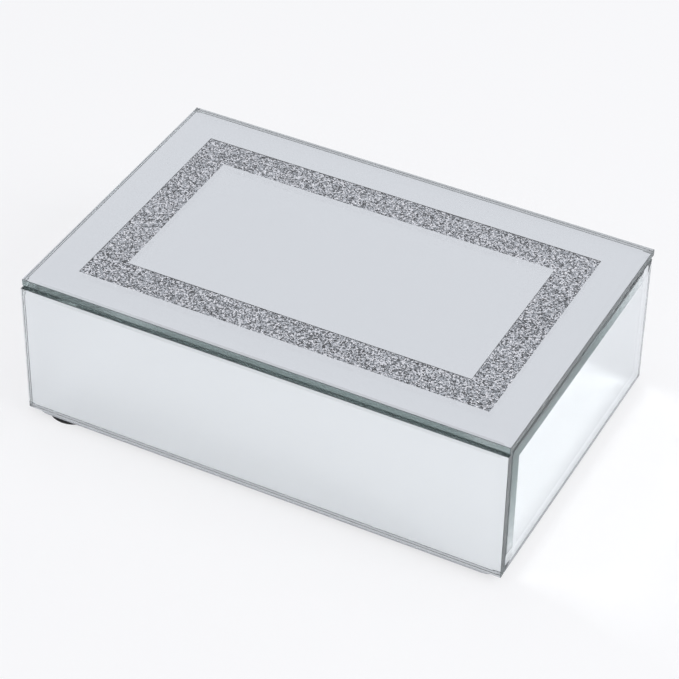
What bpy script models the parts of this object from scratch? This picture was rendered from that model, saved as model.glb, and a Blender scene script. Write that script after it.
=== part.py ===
"""Mirrored vanity trinket box: a wooden carcass clad in bevelled mirror glass, with a glass-topped lid.

Metres, +Z up. X runs along the box, -Y is its front, and Z = 0 is the surface that it stands on.
The lid turns about two butt hinges behind the back glass. Every sub-part is one object.
"""

from math import radians

import bmesh
import bpy
from mathutils import Matrix, Vector

MM = 0.001
GAP = 0.3 * MM  # air between pieces that touch

# Mirror glass: one sheet thickness everywhere, with a ground bevel along all four front edges
GLASS_T = 4.0 * MM
BEVEL_W = 6.0 * MM
BEVEL_DROP = 0.6 * MM
GLASS_EDGE_T = GLASS_T - BEVEL_DROP

# Outside of the glass cladding
BOX_W = 249.2 * MM
BOX_D = 162.2 * MM
FOOT_H = 2.0 * MM
PANEL_H = 71.4 * MM
CORNER_JOINT = 0.6 * MM

# Lid glass, set back from the front and reaching over the hinges at the back
LID_GAP = 0.8 * MM
LID_W = BOX_W - 2 * BEVEL_DROP
LID_D = 161.5 * MM
LID_SETBACK = 1.5 * MM

# Glitter frame under the lid glass
FRAME_MARGIN = 19.0 * MM
FRAME_BAND = 16.5 * MM
FRAME_T = 0.4 * MM

# The felt under the whole box, the ends of the glass included
FELT_T = 1.4 * MM
FELT_INSET = 0.8 * MM
FELT_CORNER = 9.0 * MM

# Wooden boards
BASE_T = 4.0 * MM
WALL_T = 5.0 * MM
LID_BOARD_T = 4.0 * MM
LID_BOARD_CLEAR = 0.6 * MM
LID_BOARD_INSET = 0.5 * MM

# Velvet
FLOOR_VELVET_T = 2.0 * MM
WALL_VELVET_T = 1.2 * MM
LID_VELVET_T = 2.5 * MM
LID_VELVET_CLEAR = 1.5 * MM

# Hinges
HINGE_X = 70.0 * MM
HINGE_L = 30.0 * MM
LEAF_T = 0.65 * MM
LEAF_GAP = 0.3 * MM
LEAF_W = 8.6 * MM
KNUCKLE_R = 1.6 * MM
KNUCKLE_CLEAR = 0.35 * MM
BORE_R = 1.05 * MM
PIN_R = 0.75 * MM
KNUCKLE_CUTS = [-15.0 * MM, -5.05 * MM, 5.05 * MM, 15.0 * MM]
TONGUE_OVERLAP = 0.3 * MM  # how far the tongue that joins plate and barrel runs into the plate
TONGUE_SHORT = 0.13 * MM  # how far it stops from the bore
SHY = 0.98  # keeps a joined or cut shape just inside its neighbour's faces
PROUD = 1.02  # and just outside them

# Screws
SCREW_HEAD_R = 1.5 * MM
SCREW_HEAD_H = 0.6 * MM
SCREW_R = 0.7 * MM
SCREW_HOLE_R = SCREW_R + GAP
SCREW_SINK = 0.05 * MM
SCREW_PITCH = 18.0 * MM
WALL_SCREW_L = 8.0 * MM
LID_SCREW_L = 3.9 * MM

# Feet and the dots that the closed lid rests on
FOOT_R = 13.0 * MM
FOOT_ROUND = 0.35 * MM
FOOT_FROM_SIDE = 17.5 * MM
FOOT_FROM_FRONT = 17.5 * MM
FOOT_ASKEW = 4.0 * MM  # how much nearer the front edge the front left pad is stuck
DOT_R = 2.0 * MM
DOT_ROUND = 0.4 * MM
DOT_FROM_SIDE = 30.0 * MM

# Planes worked out from the sizes above; the box's own middle is x = 0, y = 0 until it is placed
EDGE_X = BOX_W / 2 - BEVEL_DROP
EDGE_Y = BOX_D / 2 - BEVEL_DROP
SILVER_X = BOX_W / 2 - GLASS_T
SILVER_Y = BOX_D / 2 - GLASS_T
WALL_X = SILVER_X - GAP
WALL_Y = SILVER_Y - GAP
INNER_X = WALL_X - WALL_T
INNER_Y = WALL_Y - WALL_T
BASE_Z = FOOT_H + FELT_T + GAP
RIM_Z = BASE_Z + PANEL_H
LID_GLASS_Z = RIM_Z + LID_GAP
FRAME_Z = LID_GLASS_Z - GAP - FRAME_T
LID_BOARD_TOP = FRAME_Z - GAP
LID_BOARD_Z = LID_BOARD_TOP - LID_BOARD_T
WALL_TOP = LID_BOARD_Z - 2 * (LEAF_T + GAP) - LEAF_GAP
AXIS_Z = (LID_BOARD_Z + WALL_TOP) / 2
AXIS_Y = BOX_D / 2 + KNUCKLE_R + KNUCKLE_CLEAR
LID_LEAF_FACE = AXIS_Z + LEAF_GAP / 2
BODY_LEAF_FACE = AXIS_Z - LEAF_GAP / 2
SCREW_Y = INNER_Y + WALL_T / 2
WALL_Z = BASE_Z + BASE_T + GAP
VELVET_Z = WALL_Z + FLOOR_VELVET_T + GAP
LID_Y = -EDGE_Y + LID_SETBACK + LID_D / 2

# The frame's origin is the middle of the whole footprint, hinges included
FOOTPRINT_Y = (AXIS_Y + KNUCKLE_R - BOX_D / 2) / 2

for old in list(bpy.data.objects):
    bpy.data.objects.remove(old, do_unlink=True)

parts = bpy.data.collections.new("vanity_trinket_box")
cutters = bpy.data.collections.new("cutters")
for group in (parts, cutters):
    bpy.context.scene.collection.children.link(group)


def material(name, colour, roughness, metallic=0.0, transmission=0.0):
    """A Principled material; colour is linear red, green and blue."""
    made = bpy.data.materials.new(name)
    made.use_nodes = True
    shader = made.node_tree.nodes["Principled BSDF"]
    shader.inputs["Base Color"].default_value = (*colour, 1)
    shader.inputs["Roughness"].default_value = roughness
    shader.inputs["Metallic"].default_value = metallic
    shader.inputs["Transmission Weight"].default_value = transmission
    return made


MIRROR = material("mirror_glass", (0.80, 0.84, 0.84), 0.03, 1.0)
GLITTER = material("silver_glitter", (0.42, 0.43, 0.44), 0.35, 0.9)
BOARD = material("black_fibreboard", (0.02, 0.02, 0.02), 0.7)
VELVET = material("charcoal_velvet", (0.045, 0.046, 0.052), 0.95)
FELT = material("grey_felt", (0.40, 0.41, 0.42), 0.95)
STEEL = material("nickel_plated_steel", (0.62, 0.60, 0.57), 0.28, 1.0)
RUBBER = material("black_rubber", (0.012, 0.012, 0.012), 0.6)
SILICONE = material("clear_silicone", (0.80, 0.82, 0.82), 0.25, 0.0, 0.7)


def empty(name, place, parent=None):
    """A named point that pieces hang from, at a place in the world."""
    made = bpy.data.objects.new(name, None)
    parts.objects.link(made)
    put(made, place, parent)
    return made


def put(piece, place, parent):
    """Gives a piece its parent and its place, which is measured from the box's own middle."""
    piece.parent = parent
    piece.location = Vector(place)
    while parent is not None and parent.parent is not None:
        piece.location -= parent.location
        parent = parent.parent


def new_piece(name, bm, finish, place, parent, turn=(0, 0, 0)):
    """Makes a bmesh a named object with one material, where it belongs."""
    mesh = bpy.data.meshes.new(name)
    bm.to_mesh(mesh)
    bm.free()
    mesh.materials.append(finish)
    made = bpy.data.objects.new(name, mesh)
    parts.objects.link(made)
    put(made, place, parent)
    made.rotation_euler = turn
    return made


def cube(size, centre=(0, 0, 0)):
    """A bmesh block."""
    bm = bmesh.new()
    bmesh.ops.create_cube(bm, size=1, matrix=Matrix.Translation(centre) @ Matrix.Diagonal((*size, 1)))
    return bm


def block(name, low, high, finish, parent):
    """A plain board or sheet between two corners, its origin at its middle."""
    low, high = Vector(low), Vector(high)
    return new_piece(name, cube(high - low), finish, (low + high) / 2, parent)


def rod(radius, length, axis="Z", segments=24, end_radius=None):
    """A bmesh cylinder or cone along an axis, with capped ends."""
    bm = bmesh.new()
    turn = Matrix.Rotation(radians(90), 4, "Y") if axis == "X" else Matrix.Identity(4)
    bmesh.ops.create_cone(
        bm,
        cap_ends=True,
        segments=segments,
        radius1=radius,
        radius2=radius if end_radius is None else end_radius,
        depth=length,
        matrix=turn,
    )
    return bm


def smooth(piece):
    """Shades a round piece smooth and keeps its corners sharp."""
    piece.data.shade_smooth()
    piece.data.set_sharp_from_angle(angle=radians(40))


def boolean(piece, operation, name, bm, place, parent):
    """Cuts a shape from a piece, or joins it on, and keeps the shape as a hidden guide."""
    guide = new_piece(name, bm, piece.data.materials[0], place, parent)
    parts.objects.unlink(guide)
    cutters.objects.link(guide)
    guide.hide_render = True
    guide.display_type = "WIRE"
    step = piece.modifiers.new(name, "BOOLEAN")
    step.operation = operation
    step.object = guide
    step.solver = "EXACT"


def glass_sheet(name, width, height, place, parent, turn=(0, 0, 0)):
    """A sheet of mirror glass facing +Z, silvered at Z = 0, with a bevel along its front edges."""
    bm = cube((width, height, GLASS_EDGE_T), (0, 0, GLASS_EDGE_T / 2))
    bm.faces.ensure_lookup_table()
    front = max(bm.faces, key=lambda face: face.normal.z)
    bmesh.ops.inset_region(bm, faces=[front], thickness=BEVEL_W, depth=BEVEL_DROP)
    return new_piece(name, bm, MIRROR, place, parent, turn)


def rounded_disc(name, radius, height, round_by, finish, place, parent):
    """A moulded pad with softened rims."""
    pad = new_piece(name, rod(radius, height, segments=32), finish, place, parent)
    rims = pad.modifiers.new("rims", "BEVEL")
    rims.width = round_by
    rims.segments = 2
    rims.limit_method = "ANGLE"
    smooth(pad)


def screw(name, length, place, parent, turn):
    """A countersunk screw turned from its profile, its head's face at its origin."""
    head = [(0, 0), (SCREW_HEAD_R, 0), (SCREW_R, -SCREW_HEAD_H)]
    shank = [(SCREW_R, SCREW_R - length), (0, -length)]
    bm = bmesh.new()
    points = [bm.verts.new((r, 0, z)) for r, z in head + shank]
    for first, second in zip(points, points[1:]):
        bm.edges.new((first, second))
    made = new_piece(name, bm, STEEL, place, parent, turn)
    lathe = made.modifiers.new("lathe", "SCREW")
    lathe.steps = 16
    lathe.render_steps = 16
    lathe.use_merge_vertices = True
    lathe.merge_threshold = 0.00002
    smooth(made)


def screw_places():
    """The X of each screw, from left to right."""
    return [side * HINGE_X + half * SCREW_PITCH / 2 for side in (-1, 1) for half in (-1, 1)]


def hinge_leaf(name, place, parent, up):
    """A leaf on the axis X: a plate towards -Y, and its knuckles, middle one (up) or outer pair (down)."""
    level = up * (LEAF_GAP + LEAF_T) / 2
    plate_end = -(KNUCKLE_R + KNUCKLE_CLEAR)
    leaf = new_piece(
        name,
        cube((HINGE_L, LEAF_W, LEAF_T), (0, plate_end - LEAF_W / 2, level)),
        STEEL,
        place,
        parent,
    )
    spans = list(zip(KNUCKLE_CUTS, KNUCKLE_CUTS[1:]))
    mine = spans[1:2] if up > 0 else spans[0::2]
    root = -(BORE_R + TONGUE_SHORT)
    for number, (start, end) in enumerate(mine):
        middle = (start + end) / 2
        length = end - start - GAP
        tongue = cube(
            (length, root - plate_end + TONGUE_OVERLAP, LEAF_T * SHY),
            (0, (root + plate_end - TONGUE_OVERLAP) / 2, level),
        )
        centre = Vector(place) + Vector((middle, 0, 0))
        boolean(leaf, "UNION", f"{name}_tongue_{number}", tongue, centre, parent)
        barrel = rod(KNUCKLE_R, length, "X")
        boolean(leaf, "UNION", f"{name}_barrel_{number}", barrel, centre, parent)
    bore = rod(BORE_R, HINGE_L + 2 * KNUCKLE_R, "X")
    boolean(leaf, "DIFFERENCE", f"{name}_bore", bore, place, parent)
    for side in (-1, 1):
        hole = Vector(place) + Vector((side * SCREW_PITCH / 2, SCREW_Y - AXIS_Y, level))
        through = rod(SCREW_HOLE_R, 4 * LEAF_T, segments=16)
        boolean(leaf, "DIFFERENCE", f"{name}_hole_{side}", through, hole, parent)
        low, high = (SCREW_HEAD_R + GAP, SCREW_HOLE_R * SHY)[::up]
        sink = rod(low, LEAF_T * PROUD, segments=16, end_radius=high)
        boolean(leaf, "DIFFERENCE", f"{name}_sink_{side}", sink, hole, parent)


def pilot_holes(board, label, bottom, top, parent):
    """Drills a hole for each screw in a board."""
    for number, x in enumerate(screw_places()):
        drill = rod(SCREW_HOLE_R, top - bottom, segments=16)
        boolean(board, "DIFFERENCE", f"{label}_{number}", drill, (x, SCREW_Y, (top + bottom) / 2), parent)


box = empty("box_middle", (0, -FOOTPRINT_Y, 0))
lid = empty("lid_axis", (0, AXIS_Y, AXIS_Z), box)

# Feet, underside felt and the wooden carcass
for front_name, front in (("front", -1), ("back", 1)):
    for side_name, side in (("left", -1), ("right", 1)):
        x = side * (EDGE_X - FOOT_FROM_SIDE)
        y = front * (EDGE_Y - FOOT_FROM_FRONT)
        height = FOOT_H - GAP
        name = f"foot_{front_name}_{side_name}"
        if name == "foot_front_left":
            y -= FOOT_ASKEW
        rounded_disc(name, FOOT_R, height, FOOT_ROUND, RUBBER, (x, y, height / 2), box)
felt = cube((2 * (EDGE_X - FELT_INSET), 2 * (EDGE_Y - FELT_INSET), FELT_T))
corners = [edge for edge in felt.edges if abs(edge.verts[0].co.z - edge.verts[1].co.z) > FELT_T / 2]
bmesh.ops.bevel(felt, geom=corners, offset=FELT_CORNER, segments=8, profile=0.5, affect="EDGES")
new_piece("base_felt", felt, FELT, (0, 0, FOOT_H + FELT_T / 2), box)
block("base_board", (-WALL_X, -WALL_Y, BASE_Z), (WALL_X, WALL_Y, BASE_Z + BASE_T), BOARD, box)
block("front_wall", (-WALL_X, -WALL_Y, WALL_Z), (WALL_X, -INNER_Y, WALL_TOP), BOARD, box)
back_wall = block("back_wall", (-WALL_X, INNER_Y, WALL_Z), (WALL_X, WALL_Y, WALL_TOP), BOARD, box)
pilot_holes(back_wall, "wall_pilot", BODY_LEAF_FACE - WALL_SCREW_L - GAP, WALL_TOP + GAP, box)
END_Y = INNER_Y - GAP
block("left_wall", (-WALL_X, -END_Y, WALL_Z), (-INNER_X, END_Y, WALL_TOP), BOARD, box)
block("right_wall", (INNER_X, -END_Y, WALL_Z), (WALL_X, END_Y, WALL_TOP), BOARD, box)

# Mirror glass on the four sides: the front sheet runs the full width and covers the ends of the side
# sheets, which run to the back corners, and the back sheet fits between them, cut lower for the hinges
UPRIGHT = radians(90)
SIDE_FRONT = -SILVER_Y + CORNER_JOINT
SIDE_L = EDGE_Y - SIDE_FRONT
SIDE_Y_MID = (EDGE_Y + SIDE_FRONT) / 2
PANEL_MID = BASE_Z + PANEL_H / 2
BACK_W = 2 * (SILVER_X - CORNER_JOINT)
BACK_H = WALL_TOP - BASE_Z
BACK_MID = BASE_Z + BACK_H / 2
glass_sheet("front_mirror", 2 * EDGE_X, PANEL_H, (0, -SILVER_Y, PANEL_MID), box, (UPRIGHT, 0, 0))
glass_sheet("right_mirror", SIDE_L, PANEL_H, (SILVER_X, SIDE_Y_MID, PANEL_MID), box, (UPRIGHT, 0, UPRIGHT))
glass_sheet("left_mirror", SIDE_L, PANEL_H, (-SILVER_X, SIDE_Y_MID, PANEL_MID), box, (UPRIGHT, 0, -UPRIGHT))
glass_sheet("back_mirror", BACK_W, BACK_H, (0, SILVER_Y, BACK_MID), box, (UPRIGHT, 0, 2 * UPRIGHT))

# Velvet inside the box
LINED_X = INNER_X - GAP
LINED_Y = INNER_Y - GAP
VELVET_Y = LINED_Y - WALL_VELVET_T
SIDE_Y = VELVET_Y - GAP
VELVET_X = LINED_X - WALL_VELVET_T
FLOOR_TOP = WALL_Z + FLOOR_VELVET_T
block("floor_lining", (-LINED_X, -LINED_Y, WALL_Z), (LINED_X, LINED_Y, FLOOR_TOP), VELVET, box)
block("front_lining", (-LINED_X, -LINED_Y, VELVET_Z), (LINED_X, -VELVET_Y, WALL_TOP), VELVET, box)
block("back_lining", (-LINED_X, VELVET_Y, VELVET_Z), (LINED_X, LINED_Y, WALL_TOP), VELVET, box)
block("left_lining", (-LINED_X, -SIDE_Y, VELVET_Z), (-VELVET_X, SIDE_Y, WALL_TOP), VELVET, box)
block("right_lining", (VELVET_X, -SIDE_Y, VELVET_Z), (LINED_X, SIDE_Y, WALL_TOP), VELVET, box)

# Dots on the front wall that the closed lid rests on
DOT_H = LID_BOARD_Z - WALL_TOP - 2 * GAP
for side_name, side in (("left", -1), ("right", 1)):
    place = (side * (WALL_X - DOT_FROM_SIDE), -(WALL_Y + INNER_Y) / 2, WALL_TOP + GAP + DOT_H / 2)
    rounded_disc(f"lid_bumper_{side_name}", DOT_R, DOT_H, DOT_ROUND, SILICONE, place, box)

# Lid: glass, glitter frame, board and velvet pad
glass_sheet("lid_mirror", LID_W, LID_D, (0, LID_Y, LID_GLASS_Z), lid)
FRAME_X = LID_W / 2 - FRAME_MARGIN
FRAME_Y = LID_D / 2 - FRAME_MARGIN
FRAME_LOW = (-FRAME_X, LID_Y - FRAME_Y, FRAME_Z)
FRAME_HIGH = (FRAME_X, LID_Y + FRAME_Y, FRAME_Z + FRAME_T)
glitter = block("glitter_frame", FRAME_LOW, FRAME_HIGH, GLITTER, lid)
window = cube((2 * (FRAME_X - FRAME_BAND), 2 * (FRAME_Y - FRAME_BAND), 4 * FRAME_T))
boolean(glitter, "DIFFERENCE", "glitter_window", window, (0, LID_Y, FRAME_Z + FRAME_T / 2), lid)
BOARD_X = SILVER_X - LID_BOARD_CLEAR
BOARD_FRONT = -SILVER_Y + LID_BOARD_CLEAR
BOARD_BACK = EDGE_Y - LID_BOARD_INSET
BOARD_LOW = (-BOARD_X, BOARD_FRONT, LID_BOARD_Z)
BOARD_HIGH = (BOARD_X, BOARD_BACK, LID_BOARD_TOP)
lid_board = block("lid_board", BOARD_LOW, BOARD_HIGH, BOARD, lid)
pilot_holes(lid_board, "lid_pilot", LID_BOARD_Z - GAP, LID_LEAF_FACE + LID_SCREW_L + GAP, lid)
PAD_X = VELVET_X - LID_VELVET_CLEAR
PAD_Y = VELVET_Y - LID_VELVET_CLEAR
PAD_TOP = LID_BOARD_Z - GAP
block("lid_lining", (-PAD_X, -PAD_Y, PAD_TOP - LID_VELVET_T), (PAD_X, PAD_Y, PAD_TOP), VELVET, lid)

# Hinges: a leaf on the wall, a leaf under the lid board, and the pin that the lid's knuckle turns on
for side_name, side in (("left", -1), ("right", 1)):
    place = (side * HINGE_X, AXIS_Y, AXIS_Z)
    hinge_leaf(f"hinge_{side_name}_body_leaf", place, box, -1)
    hinge_leaf(f"hinge_{side_name}_lid_leaf", place, lid, 1)
    pin = new_piece(f"hinge_{side_name}_pin", rod(PIN_R, HINGE_L, "X"), STEEL, place, box)
    smooth(pin)
HEAD_UP = (0, 0, 0)
HEAD_DOWN = (2 * UPRIGHT, 0, 0)
for number, x in enumerate(screw_places(), start=1):
    wall_head = (x, SCREW_Y, BODY_LEAF_FACE - SCREW_SINK)
    screw(f"body_leaf_screw_{number}", WALL_SCREW_L, wall_head, box, HEAD_UP)
    lid_head = (x, SCREW_Y, LID_LEAF_FACE + SCREW_SINK)
    screw(f"lid_leaf_screw_{number}", LID_SCREW_L, lid_head, lid, HEAD_DOWN)
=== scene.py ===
# %% [markdown]
# # A mirrored trinket box with a glitter frame
#
# The real box is a shallow case of black fibreboard with bevelled mirror glass glued to its outside.
# Its lid is one more sheet of mirror, and a band of its silvering has been left off so that silver
# glitter shows through the glass. Inside, the boards are lined with velvet.
#
# The sizes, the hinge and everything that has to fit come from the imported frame. This file gives the
# box its looks: real glass sheets with real bevels, flakes, velvet, paint and nickel plate.

# %% Load the frame
import math

import bmesh
import bpy
from mathutils import Matrix, Vector


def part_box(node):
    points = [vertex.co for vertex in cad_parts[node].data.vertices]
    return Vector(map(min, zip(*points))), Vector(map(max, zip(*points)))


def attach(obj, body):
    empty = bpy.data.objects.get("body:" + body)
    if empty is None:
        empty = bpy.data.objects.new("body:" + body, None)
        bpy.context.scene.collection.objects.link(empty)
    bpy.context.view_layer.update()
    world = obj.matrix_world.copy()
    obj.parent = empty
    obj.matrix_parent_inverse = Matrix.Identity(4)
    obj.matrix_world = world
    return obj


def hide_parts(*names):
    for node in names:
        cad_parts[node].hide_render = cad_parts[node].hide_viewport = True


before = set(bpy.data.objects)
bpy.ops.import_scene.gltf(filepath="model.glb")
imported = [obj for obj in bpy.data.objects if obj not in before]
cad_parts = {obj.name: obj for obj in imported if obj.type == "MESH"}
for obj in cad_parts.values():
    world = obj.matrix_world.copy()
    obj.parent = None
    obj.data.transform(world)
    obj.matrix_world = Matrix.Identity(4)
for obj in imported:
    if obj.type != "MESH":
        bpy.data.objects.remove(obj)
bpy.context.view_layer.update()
MM = 0.001
ALONG = 0.99  # two directions agree when their dot product is past this
ACROSS = 0.01  # and are square to each other when it is under this

# %% [markdown]
# ## Tools for modelling
#
# Each new piece starts as a primitive at its own size and place, and is then shaped in edit mode. The
# operators work on what is selected, so two small helpers do the selecting: one makes a piece the only
# one selected, and the other picks faces or edges by a test on where they are and which way they face.

# %% Select and shape
def choose(piece):
    """Makes a piece the only one selected, and the active one."""
    bpy.ops.object.select_all(action="DESELECT")
    piece.hide_set(False)
    piece.select_set(True)
    bpy.context.view_layer.objects.active = piece


def edit(piece):
    """Opens a piece in edit mode with nothing selected."""
    choose(piece)
    bpy.ops.object.mode_set(mode="EDIT")
    bpy.ops.mesh.select_all(action="DESELECT")


def close():
    """Leaves edit mode."""
    bpy.ops.object.mode_set(mode="OBJECT")


def pick(piece, kind, test):
    """In edit mode, selects only the parts of one kind, FACE, EDGE or VERT, that pass a test."""
    bpy.ops.mesh.select_mode(type=kind)
    bpy.ops.mesh.select_all(action="DESELECT")
    mesh = bmesh.from_edit_mesh(piece.data)
    parts = {"FACE": mesh.faces, "EDGE": mesh.edges, "VERT": mesh.verts}[kind]
    found = [part for part in parts if test(part)]
    for part in found:
        part.select_set(True)
    mesh.select_flush_mode()
    bmesh.update_edit_mesh(piece.data)
    return len(found)


def add_block(name, low, high):
    """A block between two corners, with its place in its mesh."""
    low, high = Vector(low), Vector(high)
    bpy.ops.object.select_all(action="DESELECT")
    bpy.ops.mesh.primitive_cube_add(size=1, location=(low + high) / 2, scale=high - low)
    block = bpy.context.active_object
    block.name = block.data.name = name
    bpy.ops.object.transform_apply(location=True, rotation=True, scale=True)
    return block


def apply_all(piece):
    """Applies a piece's modifiers from the top down."""
    choose(piece)
    for modifier in list(piece.modifiers):
        bpy.ops.object.modifier_apply(modifier=modifier.name)


def settle(piece, body, slot, *nodes):
    """Hangs a finished piece on its body, in place of the nodes that it stands for."""
    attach(piece, body)
    if nodes:
        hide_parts(*nodes)
    print(f"{piece.name}: {len(piece.data.polygons)} faces on {body}")


# %% [markdown]
# ## Tools for materials
#
# Colours are written as they would be picked from a paint chart, in sRGB hex, and turned to the linear
# values that shaders work in. One helper adds a node with its settings and its links, so a material
# reads from top to bottom like its node tree from left to right.

# %% Colours and nodes
def colour(code):
    """An sRGB hex colour as linear red, green, blue and alpha."""
    values = [int(code[i:i + 2], 16) / 255 for i in (1, 3, 5)]
    return [v / 12.92 if v <= 0.04045 else ((v + 0.055) / 1.055) ** 2.4 for v in values] + [1.0]


def add(tree, kind, inputs=None, **settings):
    """Adds a node, sets its properties, and fills or links its inputs."""
    node = tree.nodes.new("ShaderNode" + kind)
    for name, value in settings.items():
        setattr(node, name, value)
    for name, value in (inputs or {}).items():
        if isinstance(value, bpy.types.NodeSocket):
            tree.links.new(value, node.inputs[name])
        else:
            node.inputs[name].default_value = value
    return node


def new_material(name):
    """An empty material, its node tree and its output."""
    made = bpy.data.materials.new(name)
    made.use_nodes = True
    made.node_tree.nodes.clear()
    return made, made.node_tree, add(made.node_tree, "OutputMaterial")


def ramp(tree, factor, stops, interpolation="LINEAR"):
    """A colour ramp through (place, colour) stops."""
    node = add(tree, "ValToRGB", {"Fac": factor})
    node.color_ramp.interpolation = interpolation
    elements = node.color_ramp.elements
    while len(elements) < len(stops):
        elements.new(0.5)
    for element, (place, code) in zip(elements, stops):
        element.position = place
        element.color = colour(code)
    return node.outputs["Color"]


# %% [markdown]
# ## Mirror glass
#
# A mirror is two things: a sheet of float glass that is polished in front, and a coat of silver on its
# back. Painting a plain box with a metal would miss what makes a bevelled mirror look rich, because the
# bevels are little prisms. So the glass is real glass, and only the back faces are silver. Light that
# enters a bevel or an edge can be caught inside the sheet. Each time it meets the silver it loses more
# red than green, so after a dozen bounces it comes out dark and teal, which is the colour that the
# edge of a mirror has. The cut edges are ground flat and let the light through in a haze. The stone
# that takes off their arrises leaves a thin frost, which is coloured dark grey here and stops most of
# the light: painted shade for the dark line along each edge.

# %% Float glass, ground glass and silver
float_glass, tree, out = new_material("float_glass")
shader = add(tree, "BsdfPrincipled", {
    "Base Color": colour("#ffffff"), "Roughness": 0.0, "IOR": 1.52, "Transmission Weight": 1.0,
})
tree.links.new(shader.outputs[0], out.inputs["Surface"])

ground_edge, tree, out = new_material("ground_glass_edge")
place = add(tree, "TexCoord")
# The grit of the wheel leaves pits about 0.1 mm across, drawn at 0.4 mm so that they show
pits = add(tree, "TexNoise", {"Vector": place.outputs["Object"], "Scale": 1 / (0.4 * MM), "Detail": 2.0})
frost = add(tree, "MapRange", {
    "Value": pits.outputs["Fac"], "From Min": 0.3, "From Max": 0.7, "To Min": 0.12, "To Max": 0.26,
})
tone = ramp(tree, pits.outputs["Fac"], [(0.3, "#eef6f4"), (0.7, "#fafefd")])
shader = add(tree, "BsdfPrincipled", {
    "Base Color": tone, "Roughness": frost.outputs[0], "IOR": 1.52, "Transmission Weight": 1.0,
})
tree.links.new(shader.outputs[0], out.inputs["Surface"])

stoned_arris, tree, out = new_material("stoned_glass_arris_painted_shade")
place = add(tree, "TexCoord")
chips = add(tree, "TexNoise", {"Vector": place.outputs["Object"], "Scale": 1 / (0.6 * MM), "Detail": 2.0})
# Painted shade: the frost of the arris is coloured dark grey, which draws a dark line along each edge
tone = ramp(tree, chips.outputs["Fac"], [(0.3, "#4f5556"), (0.7, "#6c7273")])
shader = add(tree, "BsdfPrincipled", {
    "Base Color": tone, "Roughness": 0.55, "IOR": 1.52, "Transmission Weight": 0.35,
})
tree.links.new(shader.outputs[0], out.inputs["Surface"])

silver, tree, out = new_material("mirror_silvering")
shader = add(tree, "BsdfPrincipled", {
    "Base Color": (0.865, 0.890, 0.886, 1), "Metallic": 1.0, "Roughness": 0.0,
})
tree.links.new(shader.outputs[0], out.inputs["Surface"])
print("float glass, ground edges, stoned arrises and silver are mixed")

# %% [markdown]
# ## Cutting a sheet
#
# Every sheet is made the same way, as a glazier would: cut to size, bevelled along its four front edges
# and stoned along its arrises. The block stands where the frame's solid stands, thinner by the drop of
# the bevels, and an inset that rises by that drop makes them. The lid's sheet then gets two insets on
# its back, which mark out the band that has no silver.

# %% Make a sheet of mirror glass
BEVEL_WIDTH = 6.0 * MM
BEVEL_DROP = 0.6 * MM
ARRIS = 0.18 * MM  # the width of the frost that the stone leaves
POLISHED, SILVERED, GROUND, STONED = range(4)


def mirror_sheet(node, facing, body, window=None):
    """A bevelled mirror in place of a node. window is the margin and the width of a band left clear."""
    facing = Vector(facing)
    low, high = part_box(node)
    back = min(low.dot(facing), high.dot(facing))
    for i in range(3):
        high[i] -= BEVEL_DROP * max(facing[i], 0)
        low[i] -= BEVEL_DROP * min(facing[i], 0)
    sheet = add_block(node + "_sheet", low, high)
    for glass in (float_glass, silver, ground_edge, stoned_arris):
        sheet.data.materials.append(glass)
    edit(sheet)
    pick(sheet, "FACE", lambda face: face.normal.dot(facing) > ALONG)
    bpy.ops.mesh.inset(thickness=BEVEL_WIDTH, depth=BEVEL_DROP)
    pick(sheet, "FACE", lambda face: abs(face.normal.dot(facing)) < ACROSS)
    bpy.context.object.active_material_index = GROUND
    bpy.ops.object.material_slot_assign()
    pick(sheet, "EDGE", lambda edge: any(abs(face.normal.dot(facing)) < ACROSS for face in edge.link_faces))
    bpy.ops.mesh.bevel(offset=ARRIS, segments=1, affect="EDGES", material=STONED)

    def on_back(face):
        level = face.calc_center_median().dot(facing)
        return face.normal.dot(facing) < -ALONG and abs(level - back) < ARRIS / 2

    pick(sheet, "FACE", on_back)
    bpy.context.object.active_material_index = SILVERED
    bpy.ops.object.material_slot_assign()
    if window:
        margin, band = window
        bpy.ops.mesh.inset(thickness=margin - ARRIS)
        bpy.ops.mesh.inset(thickness=band)
        pick(sheet, "FACE", lambda face: on_back(face) and is_band(face, low, high, margin, band))
        bpy.context.object.active_material_index = POLISHED
        bpy.ops.object.material_slot_assign()
    close()
    settle(sheet, body, "mirror_glass", node)
    return sheet


def is_band(face, low, high, margin, band):
    """True for the faces of the clear band, whose middles lie between its two outlines."""
    centre = face.calc_center_median()
    from_edge = min(centre.x - low.x, high.x - centre.x, centre.y - low.y, high.y - centre.y)
    return margin < from_edge < margin + band


# %% Cut the five sheets
BAND_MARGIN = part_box("glitter_frame")[0].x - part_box("lid_mirror")[0].x
BAND_WIDTH = 16.5 * MM
SIDE_SHEETS = (
    ("front_mirror", (0, -1, 0)),
    ("back_mirror", (0, 1, 0)),
    ("left_mirror", (-1, 0, 0)),
    ("right_mirror", (1, 0, 0)),
)
mirror_sheet("lid_mirror", (0, 0, 1), "lid", window=(BAND_MARGIN, BAND_WIDTH))
for node, facing in SIDE_SHEETS:
    mirror_sheet(node, facing, "box")

# %% [markdown]
# ## Backing paint
#
# Silver would tarnish in the air, so a mirror's back is painted grey. The coat shows as a thin line
# along the top of each sheet when the lid is open. A surface given a thickness by Solidify is enough,
# and on the lid two insets mark out the window before its faces are deleted. Its window is a little
# wider than the one in the silver, so the flakes can lie right up against the glass.

# %% Roll on the paint
PAINT_GAP = 0.08 * MM
PAINT_THICKNESS = 0.12 * MM
WINDOW_EASE = 1.2 * MM  # how much wider than the silver's window the paint's is, on each side
backing_paint, tree, out = new_material("grey_mirror_backing_paint")
place = add(tree, "TexCoord")
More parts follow.
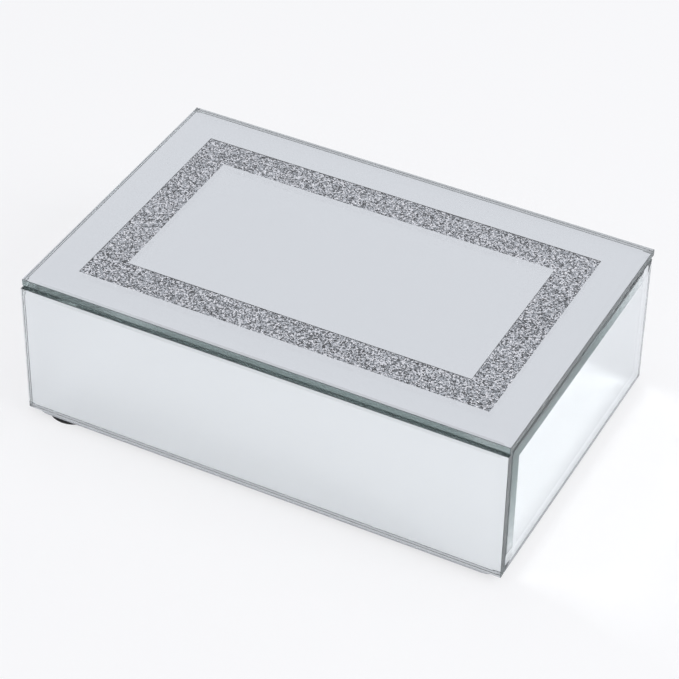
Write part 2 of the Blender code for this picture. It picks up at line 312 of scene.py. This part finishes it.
# Roller stipple, about 1.5 mm across
stipple = add(tree, "TexNoise", {"Vector": place.outputs["Object"], "Scale": 1 / (1.5 * MM), "Detail": 3.0})
tone = ramp(tree, stipple.outputs["Fac"], [(0.3, "#5d6264"), (0.7, "#6a6f71")])
bump = add(tree, "Bump", {"Height": stipple.outputs["Fac"], "Strength": 0.3, "Distance": 0.05 * MM})
shader = add(tree, "BsdfPrincipled", {"Base Color": tone, "Roughness": 0.55, "Normal": bump.outputs[0]})
tree.links.new(shader.outputs[0], out.inputs["Surface"])


def paint_coat(node, facing, body, window=None):
    """The coat of paint behind a sheet, which stops short of its arrises and of a clear window."""
    facing = Vector(facing)
    low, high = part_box(node)
    back = min(low.dot(facing), high.dot(facing)) - PAINT_GAP - PAINT_THICKNESS / 2
    coat = add_block(node + "_paint", low, high)
    edit(coat)
    pick(coat, "FACE", lambda face: face.normal.dot(facing) > -ALONG)
    bpy.ops.mesh.delete(type="FACE")
    bpy.ops.mesh.select_all(action="SELECT")
    bpy.ops.mesh.inset(thickness=ARRIS)
    pick(coat, "EDGE", lambda edge: edge.is_boundary)
    bpy.ops.mesh.delete(type="EDGE")
    if window:
        margin, band = window
        bpy.ops.mesh.select_all(action="SELECT")
        bpy.ops.mesh.inset(thickness=margin - ARRIS)
        bpy.ops.mesh.inset(thickness=band)
        pick(coat, "FACE", lambda face: is_band(face, low, high, margin, band))
        bpy.ops.mesh.delete(type="FACE")
    close()
    for vertex in coat.data.vertices:
        vertex.co += facing * (back - vertex.co.dot(facing))
    wall = coat.modifiers.new("thickness", "SOLIDIFY")
    wall.thickness = PAINT_THICKNESS
    wall.offset = 0.0
    apply_all(coat)
    coat.data.materials.append(backing_paint)
    settle(coat, body, "mirror_glass")


eased_window = (BAND_MARGIN - WINDOW_EASE, BAND_WIDTH + 2 * WINDOW_EASE)
paint_coat("lid_mirror", (0, 0, 1), "lid", window=eased_window)
for node, facing in SIDE_SHEETS:
    paint_coat(node, facing, "box")

# %% [markdown]
# ## Glitter
#
# The band under the window is a layer of silver glitter: flakes of metallised film, most of them lying
# nearly flat and each at its own angle. One flake catches the lamp while its neighbour shows the dark
# of the room, so the band is a mosaic from white to nearly black. A bump map alone would fade in
# smooth reflections, so the flakes are real facets: a grid at the flakes' own pitch, cut to a frame,
# with every corner moved at random. Cells of the same size then paint each flake's colour from near
# black to white, which is a painted glint on some flakes and painted shade on others.

# %% Mix the glitter
FLAKE = 0.62 * MM
glitter_flakes, tree, out = new_material("metallised_film_glitter_painted_glints")
place = add(tree, "TexCoord")
cells = add(tree, "TexVoronoi", {"Vector": place.outputs["Object"], "Scale": 1 / FLAKE, "Randomness": 1.0})
split = add(tree, "SeparateColor", {"Color": cells.outputs["Color"]})
# Painted glints and painted shade: each flake's colour runs from near black to white by its cell, on top of
# what its tilt reflects
tone = ramp(tree, split.outputs["Red"], [
    (0.0, "#070909"), (0.23, "#303537"), (0.46, "#9ea3a6"), (0.7, "#d2d6d9"), (0.82, "#ffffff"),
])
edge_wear = add(tree, "MapRange", {"Value": split.outputs["Green"], "To Min": 0.18, "To Max": 0.42})
shader = add(tree, "BsdfPrincipled", {
    "Base Color": tone, "Metallic": 1.0, "Roughness": edge_wear.outputs[0],
})
tree.links.new(shader.outputs[0], out.inputs["Surface"])
print("glitter is mixed, with flakes", FLAKE / MM, "mm wide")

# %% Lay the flakes
FLAKE_TILT = 0.13 * MM  # how far a flake's corner may move
FLAKE_DEPTH = 0.22 * MM  # how far the flakes lie behind the back of the glass
UNDER_SILVER = 1.0 * MM  # how far they run on under the silver
GLUE_THICKNESS = 0.2 * MM
low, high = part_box("glitter_frame")
low, high = low - Vector((UNDER_SILVER,) * 3), high + Vector((UNDER_SILVER,) * 3)
size = high - low
columns, rows = (round(length / FLAKE) for length in (size.x, size.y))
bpy.ops.object.select_all(action="DESELECT")
bpy.ops.mesh.primitive_grid_add(x_subdivisions=columns, y_subdivisions=rows, size=1)
glitter = bpy.context.active_object
glitter.name = glitter.data.name = "glitter_flakes"
glitter.location = (low + high) / 2
glitter.location.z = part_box("lid_mirror")[0].z - FLAKE_DEPTH
glitter.scale = size
bpy.ops.object.transform_apply(location=True, rotation=True, scale=True)
edit(glitter)
inwards = Vector((BAND_WIDTH + 2 * UNDER_SILVER,) * 3)
window_low, window_high = low + inwards, high - inwards
for corner in (window_low, window_high):
    for normal in (Vector((1, 0, 0)), Vector((0, 1, 0))):
        bpy.ops.mesh.select_all(action="SELECT")
        bpy.ops.mesh.bisect(plane_co=corner, plane_no=normal)


def in_window(face):
    """True for a face inside the frame of flakes."""
    centre = face.calc_center_median()
    return window_low.x < centre.x < window_high.x and window_low.y < centre.y < window_high.y


pick(glitter, "FACE", in_window)
bpy.ops.mesh.delete(type="FACE")
pick(glitter, "VERT", lambda vertex: not vertex.is_boundary)
bpy.ops.transform.vertex_random(offset=FLAKE_TILT, uniform=0.3, seed=4)
bpy.ops.mesh.select_all(action="SELECT")
bpy.ops.mesh.quads_convert_to_tris(quad_method="SHORTEST_DIAGONAL")
close()
glue = glitter.modifiers.new("glue", "SOLIDIFY")
glue.thickness = GLUE_THICKNESS
glue.offset = -1.0
apply_all(glitter)
glitter.data.materials.append(glitter_flakes)
settle(glitter, "lid", "silver_glitter", "glitter_frame")

# %% [markdown]
# ## Boards, felt and pads
#
# The carcass is medium density fibreboard, rolled with matt black paint. Its shapes are right as the
# frame has them, so they only need their finish. Fibreboard drinks paint, so its fibres show as a fine
# fuzz, and a rolled face is glossier in some places than in others. The grey felt that covers the
# underside, the ends of the glass included, and the rubber pads are finished in the same way.


# %% A finish for the frame's own pieces
def finish(material, *nodes):
    """Gives the frame's own nodes a material."""
    for node in nodes:
        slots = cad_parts[node].material_slots
        for slot in slots:
            slot.material = material
    print(material.name, "on", len(nodes), "nodes")


def grainy(name, dark, light, grain, roughness, depth, sheen=0.0, patches=25.0 * MM):
    """A dull finish with a fine grain of a real size, and broad patches that are glossier or duller."""
    made, tree, out = new_material(name)
    place = add(tree, "TexCoord")
    fine = add(tree, "TexNoise", {"Vector": place.outputs["Object"], "Scale": 1 / grain, "Detail": 4.0})
    broad = add(tree, "TexNoise", {"Vector": place.outputs["Object"], "Scale": 1 / patches, "Detail": 2.0})
    tone = ramp(tree, fine.outputs["Fac"], [(0.3, dark), (0.7, light)])
    gloss = add(tree, "MapRange", {
        "Value": broad.outputs["Fac"], "From Min": 0.3, "From Max": 0.7,
        "To Min": roughness - 0.08, "To Max": roughness + 0.08,
    })
    bump = add(tree, "Bump", {"Height": fine.outputs["Fac"], "Strength": 0.6, "Distance": depth})
    shader = add(tree, "BsdfPrincipled", {
        "Base Color": tone,
        "Roughness": gloss.outputs[0],
        "Sheen Weight": sheen,
        "Normal": bump.outputs[0],
    })
    tree.links.new(shader.outputs[0], out.inputs["Surface"])
    return made


# %% Paint the boards, lay the felt and cast the pads
painted_board = grainy("painted_fibreboard", "#19191a", "#242425", 0.5 * MM, 0.62, 0.04 * MM)
grey_felt = grainy("pressed_felt", "#b8babd", "#d4d6d8", 0.4 * MM, 0.92, 0.15 * MM, sheen=0.25)
foot_rubber = grainy("moulded_rubber", "#141414", "#1e1e1e", 0.3 * MM, 0.7, 0.02 * MM)
finish(painted_board, "base_board", "front_wall", "back_wall", "left_wall", "right_wall", "lid_board")
finish(grey_felt, "base_felt")
finish(foot_rubber, "foot_front_left", "foot_front_right", "foot_back_left", "foot_back_right")

# %% [markdown]
# ## Velvet
#
# The inside is lined with charcoal velvet. Velvet is a forest of upright threads: seen end on it is
# nearly black, and seen from the side its tips catch the light, so the shader has a sheen. The pile's
# tips are also painted lighter, a painted highlight. The nap is brushed this way and that by the hand
# that glued it, and the cloudy patches some centimetres wide that this gives are painted into the colour
# as painted sheen. The walls are velvet stretched over card. The floor and the lid have a thin foam
# under it, and a cloth simulation puffs them up against the card that they are glued to.

# %% Weave the velvet
velvet, tree, out = new_material("charcoal_velvet_pile")
place = add(tree, "TexCoord")
pile = add(tree, "TexNoise", {"Vector": place.outputs["Object"], "Scale": 1 / (0.45 * MM), "Detail": 3.0})
nap = add(tree, "TexNoise", {
    "Vector": place.outputs["Object"], "Scale": 1 / (28.0 * MM), "Detail": 3.0, "Distortion": 0.8,
})
# Painted sheen: broad patches of lighter and darker colour where the nap was brushed different ways
nap_painted_sheen = ramp(tree, nap.outputs["Fac"], [(0.35, "#26272b"), (0.65, "#34363b")])
# Painted highlight and painted shade: where the bump raises the pile its colour is lighter, and between the
# tufts darker
pile_tips_painted_highlight = ramp(tree, pile.outputs["Fac"], [(0.35, "#8c8c90"), (0.65, "#ffffff")])
tone = add(tree, "Mix", {6: nap_painted_sheen, 7: pile_tips_painted_highlight, 0: 1.0}, data_type="RGBA", blend_type="MULTIPLY")
bump = add(tree, "Bump", {"Height": pile.outputs["Fac"], "Strength": 0.8, "Distance": 0.25 * MM})
shader = add(tree, "BsdfPrincipled", {
    "Base Color": tone.outputs[2],
    "Roughness": 0.95,
    "Sheen Weight": 0.7,
    "Sheen Roughness": 0.35,
    "Normal": bump.outputs[0],
})
tree.links.new(shader.outputs[0], out.inputs["Surface"])
print(velvet.name, "is woven")

# %% Cut cards and pads
CARD_CELL = 5.0 * MM


def velvet_slab(name, low, high, facing):
    """A slab cut in 5 mm squares, face up or down or inwards, with soft rims once it is subdivided."""
    facing = Vector(facing)
    size = high - low
    axis = max(range(3), key=lambda i: abs(facing[i]))
    first, second = [i for i in range(3) if i != axis]
    bpy.ops.object.select_all(action="DESELECT")
    bpy.ops.mesh.primitive_grid_add(
        x_subdivisions=max(2, round(size[first] / CARD_CELL)),
        y_subdivisions=max(2, round(size[second] / CARD_CELL)),
        size=1,
    )
    slab = bpy.context.active_object
    slab.name = slab.data.name = name
    middle = (low + high) / 2
    for vertex in slab.data.vertices:
        across, along = vertex.co.x, vertex.co.y
        vertex.co[first] = middle[first] + across * size[first]
        vertex.co[second] = middle[second] + along * size[second]
        vertex.co[axis] = middle[axis]
    edit(slab)
    bpy.ops.mesh.select_all(action="SELECT")
    bpy.ops.mesh.normals_make_consistent(inside=False)
    close()
    body = slab.modifiers.new("thickness", "SOLIDIFY")
    body.thickness = size[axis]
    body.offset = 0.0
    apply_all(slab)
    return slab


def soften(piece):
    """One subdivision, which rounds the rims, and smooth shading."""
    soft = piece.modifiers.new("soft", "SUBSURF")
    soft.levels = soft.render_levels = 1
    apply_all(piece)
    choose(piece)
    bpy.ops.object.shade_smooth()
    piece.data.materials.append(velvet)


for node, facing in (
    ("front_lining", (0, 1, 0)), ("back_lining", (0, -1, 0)),
    ("left_lining", (1, 0, 0)), ("right_lining", (-1, 0, 0)),
):
    low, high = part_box(node)
    card = velvet_slab(node + "_card", low, high, facing)
    soften(card)
    settle(card, "box", "charcoal_velvet", node)

# %% Puff up the floor and the lid pads
PRESSURE = 1.5
FRAMES = 20
RIM = 3.0 * MM


def velvet_pad(node, facing, cap, body):
    """A foam pad under velvet: its back and its rim are glued down, and the rest swells up to a cap."""
    facing = Vector(facing)
    low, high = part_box(node)
    pad = velvet_slab(node + "_pad", low, high, facing)
    face = max(low.dot(facing), high.dot(facing))
    flat = [vertex.co.copy() for vertex in pad.data.vertices]
    inside = [min(co.x - low.x, high.x - co.x, co.y - low.y, high.y - co.y) > RIM for co in flat]
    free = [clear and abs(co.dot(facing) - face) < RIM / 10 for clear, co in zip(inside, flat)]
    held = pad.vertex_groups.new(name="glued")
    held.add([index for index, loose in enumerate(free) if not loose], 1.0, "REPLACE")
    cloth = pad.modifiers.new("cloth", "CLOTH")
    cloth.settings.vertex_group_mass = "glued"
    cloth.settings.mass = 0.02
    cloth.settings.use_pressure = True
    cloth.settings.uniform_pressure_force = PRESSURE
    cloth.settings.effector_weights.gravity = 0.0
    cloth.point_cache.frame_end = FRAMES
    for number in range(1, FRAMES + 1):
        bpy.context.scene.frame_set(number)
    apply_all(pad)
    moved = 0.0
    for vertex, start in zip(pad.data.vertices, flat):
        move = vertex.co - start
        moved = max(moved, move.length)
        if move.length > cap:
            vertex.co = start + move.normalized() * cap
    print(f"{pad.name} swells by {moved / MM:.2f} mm before its cap of {cap / MM:.2f} mm")
    soften(pad)
    settle(pad, body, "charcoal_velvet", node)


velvet_pad("floor_lining", (0, 0, 1), 1.2 * MM, "box")
velvet_pad("lid_lining", (0, 0, -1), 1.6 * MM, "lid")
bpy.context.scene.frame_set(1)

# %% [markdown]
# ## Hinges, screws and dots
#
# The two small butt hinges are steel with a bright nickel plate. Plate over tumbled steel is never a
# perfect mirror: it has a soft haze and fine scratches. The screws are countersunk, with a cross
# recess. One is made, and the other seven are copies with their own mesh.

# %% Nickel plate and silicone
nickel, tree, out = new_material("bright_nickel_plate")
place = add(tree, "TexCoord")
haze = add(tree, "TexNoise", {"Vector": place.outputs["Object"], "Scale": 1 / (3.0 * MM), "Detail": 3.0})
SCRATCH_LENGTH = 4.0 * MM
SCRATCH_WIDTH = 0.12 * MM
stretch = add(tree, "Mapping", {
    "Vector": place.outputs["Object"], "Scale": (1 / SCRATCH_LENGTH, 1 / SCRATCH_WIDTH, 1 / SCRATCH_WIDTH),
})
scratches = add(tree, "TexNoise", {"Vector": stretch.outputs[0], "Scale": 1.0, "Detail": 2.0})
tone = ramp(tree, haze.outputs["Fac"], [(0.3, "#c9c5bd"), (0.7, "#dad7d0")])
gloss = add(tree, "MapRange", {
    "Value": scratches.outputs["Fac"], "From Min": 0.3, "From Max": 0.7, "To Min": 0.2, "To Max": 0.36,
})
bump = add(tree, "Bump", {"Height": scratches.outputs["Fac"], "Strength": 0.15, "Distance": 0.01 * MM})
shader = add(tree, "BsdfPrincipled", {
    "Base Color": tone, "Metallic": 1.0, "Roughness": gloss.outputs[0], "Normal": bump.outputs[0],
})
tree.links.new(shader.outputs[0], out.inputs["Surface"])
for side in ("left", "right"):
    finish(nickel, *(f"hinge_{side}_{part}" for part in ("body_leaf", "lid_leaf", "pin")))

silicone, tree, out = new_material("clear_silicone_dot")
place = add(tree, "TexCoord")
dust = add(tree, "TexNoise", {"Vector": place.outputs["Object"], "Scale": 1 / (0.8 * MM), "Detail": 3.0})
tone = ramp(tree, dust.outputs["Fac"], [(0.4, "#e4e8e8"), (0.75, "#f4f6f6")])
cloud = add(tree, "MapRange", {"Value": dust.outputs["Fac"], "To Min": 0.12, "To Max": 0.35})
shader = add(tree, "BsdfPrincipled", {
    "Base Color": tone, "Roughness": cloud.outputs[0], "IOR": 1.41, "Transmission Weight": 0.85,
})
tree.links.new(shader.outputs[0], out.inputs["Surface"])
finish(silicone, "lid_bumper_left", "lid_bumper_right")

# %% Turn one screw and copy it
HEAD_RADIUS = 1.5 * MM
HEAD_HEIGHT = 0.6 * MM
SHANK_RADIUS = 0.7 * MM
RIM_ROUND = 0.08 * MM
POINT = 0.1  # the tip's width as a share of the shank's
RECESS_LENGTH = 1.7 * MM
RECESS_WIDTH = 0.38 * MM
RECESS_DEPTH = 0.4 * MM
SOFT_ANGLE = math.radians(35)  # corners sharper than this stay crisp


def turn_screw(name, length):
    """A countersunk screw with a cross recess, its head's face at the origin and its shank downwards."""
    bpy.ops.object.select_all(action="DESELECT")
    bpy.ops.mesh.primitive_cylinder_add(vertices=32, radius=HEAD_RADIUS, depth=HEAD_HEIGHT)
    made = bpy.context.active_object
    made.name = made.data.name = name
    made.location.z = -HEAD_HEIGHT / 2
    bpy.ops.object.transform_apply(location=True)
    edit(made)
    pick(made, "FACE", lambda face: face.normal.z < -ALONG)
    narrow = SHANK_RADIUS / HEAD_RADIUS
    bpy.ops.transform.resize(value=(narrow, narrow, 1))
    straight = length - HEAD_HEIGHT - SHANK_RADIUS
    bpy.ops.mesh.extrude_region_move(TRANSFORM_OT_translate={"value": (0, 0, -straight)})
    bpy.ops.mesh.extrude_region_move(TRANSFORM_OT_translate={"value": (0, 0, -SHANK_RADIUS)})
    bpy.ops.transform.resize(value=(POINT, POINT, 1))
    pick(made, "EDGE", lambda edge: all(abs(vertex.co.z) < HEAD_HEIGHT / 10 for vertex in edge.verts))
    bpy.ops.mesh.bevel(offset=RIM_ROUND, segments=2, affect="EDGES")
    close()
    for reach_x, reach_y in ((RECESS_LENGTH, RECESS_WIDTH), (RECESS_WIDTH, RECESS_LENGTH)):
        arm = Vector((reach_x / 2, reach_y / 2, RECESS_DEPTH))
        bit = add_block("driver_bit", -arm, arm)
        cut = made.modifiers.new("recess", "BOOLEAN")
        cut.operation = "DIFFERENCE"
        cut.object = bit
        apply_all(made)
        bpy.data.objects.remove(bit)
    choose(made)
    bpy.ops.object.shade_smooth_by_angle(angle=SOFT_ANGLE)
    made.data.materials.append(nickel)
    return made


SLOT_TURN = math.radians(35)  # each screw stops a little further round than the one before


def drive(pattern, node, body):
    """Copies a screw to where a node's screw is, and turns its head the way that node's faces."""
    low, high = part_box(node)
    head_up = body == "box"
    copy = pattern.copy()
    copy.data = pattern.data.copy()
    copy.name = copy.data.name = node + "_cross_head"
    bpy.context.collection.objects.link(copy)
    turn = Matrix.Rotation(SLOT_TURN * int(node[-1]), 4, "Z")
    flip = Matrix.Identity(4) if head_up else Matrix.Rotation(math.pi, 4, "X")
    head = Vector(((low.x + high.x) / 2, (low.y + high.y) / 2, high.z if head_up else low.z))
    copy.data.transform(Matrix.Translation(head) @ flip @ turn)
    settle(copy, body, "nickel_plated_steel", node)


for body, stem in (("box", "body_leaf_screw_"), ("lid", "lid_leaf_screw_")):
    low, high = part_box(stem + "1")
    pattern = turn_screw(stem + "pattern", high.z - low.z)
    for number in range(1, 5):
        drive(pattern, stem + str(number), body)
    bpy.data.objects.remove(pattern)

# %% [markdown]
# ## Light and camera
#
# Mirrors show their surroundings and nothing else, so the studio is part of the material. A pale room
# that is brighter behind the box than behind the camera gives the lid its soft grey, and the white table
# gives the sides theirs. The brightest of three soft boxes stands to the right, so the right side throws
# its light back on the table. The others, in front and above, fill in the shadows.

# %% The studio
scene = bpy.context.scene
scene.view_settings.view_transform = "Standard"
scene.view_settings.look = "None"
GLASS_BOUNCES = 40  # enough for light that is caught between the bevels and the silver
scene.cycles.max_bounces = GLASS_BOUNCES
scene.cycles.glossy_bounces = GLASS_BOUNCES
scene.cycles.transmission_bounces = GLASS_BOUNCES
scene.cycles.diffuse_bounces = 4
scene.cycles.volume_bounces = 0
scene.cycles.blur_glossy = 0.0

world = bpy.data.worlds.new("pale_room")
scene.world = world
world.use_nodes = True
world.node_tree.nodes.clear()
tree = world.node_tree
out = add(tree, "OutputWorld")
place = add(tree, "TexCoord")
split = add(tree, "SeparateXYZ", {"Vector": place.outputs["Generated"]})
depth = add(tree, "MapRange", {"Value": split.outputs["Y"], "From Min": -1.0, "From Max": 1.0})
room = ramp(tree, depth.outputs["Result"], [(0.0, "#c9cacf"), (0.62, "#d8d9e0"), (0.9, "#e3e4eb")])
lighting = add(tree, "Background", {"Color": room, "Strength": 1.0})
backdrop = add(tree, "Background", {"Color": colour("#f8f8fa"), "Strength": 1.0})
path = add(tree, "LightPath")
mix = add(tree, "MixShader", {
    0: path.outputs["Is Camera Ray"], 1: lighting.outputs[0], 2: backdrop.outputs[0],
})
tree.links.new(mix.outputs[0], out.inputs["Surface"])
print("the room is", world.name)

# %% The lamps
LAMP_SIZE = 0.9
LAMP_ABOVE_SIZE = 1.6


def soft_box(name, place, size, watts):
    """A square lamp with a white cloth over it, turned to the box."""
    bpy.ops.object.select_all(action="DESELECT")
    bpy.ops.object.light_add(type="AREA", location=place)
    lamp = bpy.context.active_object
    lamp.name = name
    lamp.data.shape = "SQUARE"
    lamp.data.size = size
    lamp.data.energy = watts
    lamp.rotation_euler = (-lamp.location).to_track_quat("-Z", "Y").to_euler()
    print(name, "of", watts, "W")
    return lamp


soft_box("soft_box_right", (1.6, 0.0, 1.3), LAMP_SIZE, 16.0)
soft_box("soft_box_front", (0.2, -1.6, 1.1), LAMP_SIZE, 2.0)
lamp_above = soft_box("soft_box_above", (0.0, 0.0, 1.5), LAMP_ABOVE_SIZE, 3.5)
# The lamp above lights the table only, or the lid would show it as a white sheet when seen from the top
lamp_above.visible_glossy = False
lamp_above.visible_transmission = False

# %% The table
TABLE_RADIUS = 6.0
TABLE_GLOW = 0.72  # how much of the table's own light the camera sees, which evens out its tone
bpy.ops.object.select_all(action="DESELECT")
bpy.ops.mesh.primitive_circle_add(vertices=96, radius=TABLE_RADIUS, fill_type="NGON", location=(0, 0, 0))
table = bpy.context.active_object
table.name = "table_top"
white_table, tree, out = new_material("white_table")
lit = add(tree, "BsdfDiffuse", {"Color": colour("#ededee")})
seen = add(tree, "Emission", {"Color": colour("#fbfbfc"), "Strength": 1.0})
path = add(tree, "LightPath")
part = add(tree, "Math", {0: path.outputs["Is Camera Ray"], 1: TABLE_GLOW}, operation="MULTIPLY")
mix = add(tree, "MixShader", {0: part.outputs[0], 1: lit.outputs[0], 2: seen.outputs[0]})
tree.links.new(mix.outputs[0], out.inputs["Surface"])
table.data.materials.append(white_table)
print("the table is", 2 * TABLE_RADIUS, "m across")

# %% The camera
AIM = Vector((3.7, -7.8, 41.2)) * MM
DISTANCE = 1264.4 * MM
LENS = 142.1
SENSOR = 36.0
AZIMUTH, ELEVATION, ROLL = (math.radians(angle) for angle in (26.89, 38.86, 1.05))
level = math.cos(ELEVATION)
forward = Vector((-math.sin(AZIMUTH) * level, math.cos(AZIMUTH) * level, -math.sin(ELEVATION)))
bpy.ops.object.select_all(action="DESELECT")
bpy.ops.object.camera_add(location=AIM - DISTANCE * forward)
camera = bpy.context.active_object
camera.name = "camera"
camera.data.lens = LENS
camera.data.sensor_width = SENSOR
camera.data.clip_start = 0.01
turned = forward.to_track_quat("-Z", "Y").to_matrix() @ Matrix.Rotation(ROLL, 3, "Z")
camera.rotation_euler = turned.to_euler()
scene.camera = camera
print("camera with a lens of", LENS, "mm,", DISTANCE, "m from the box")
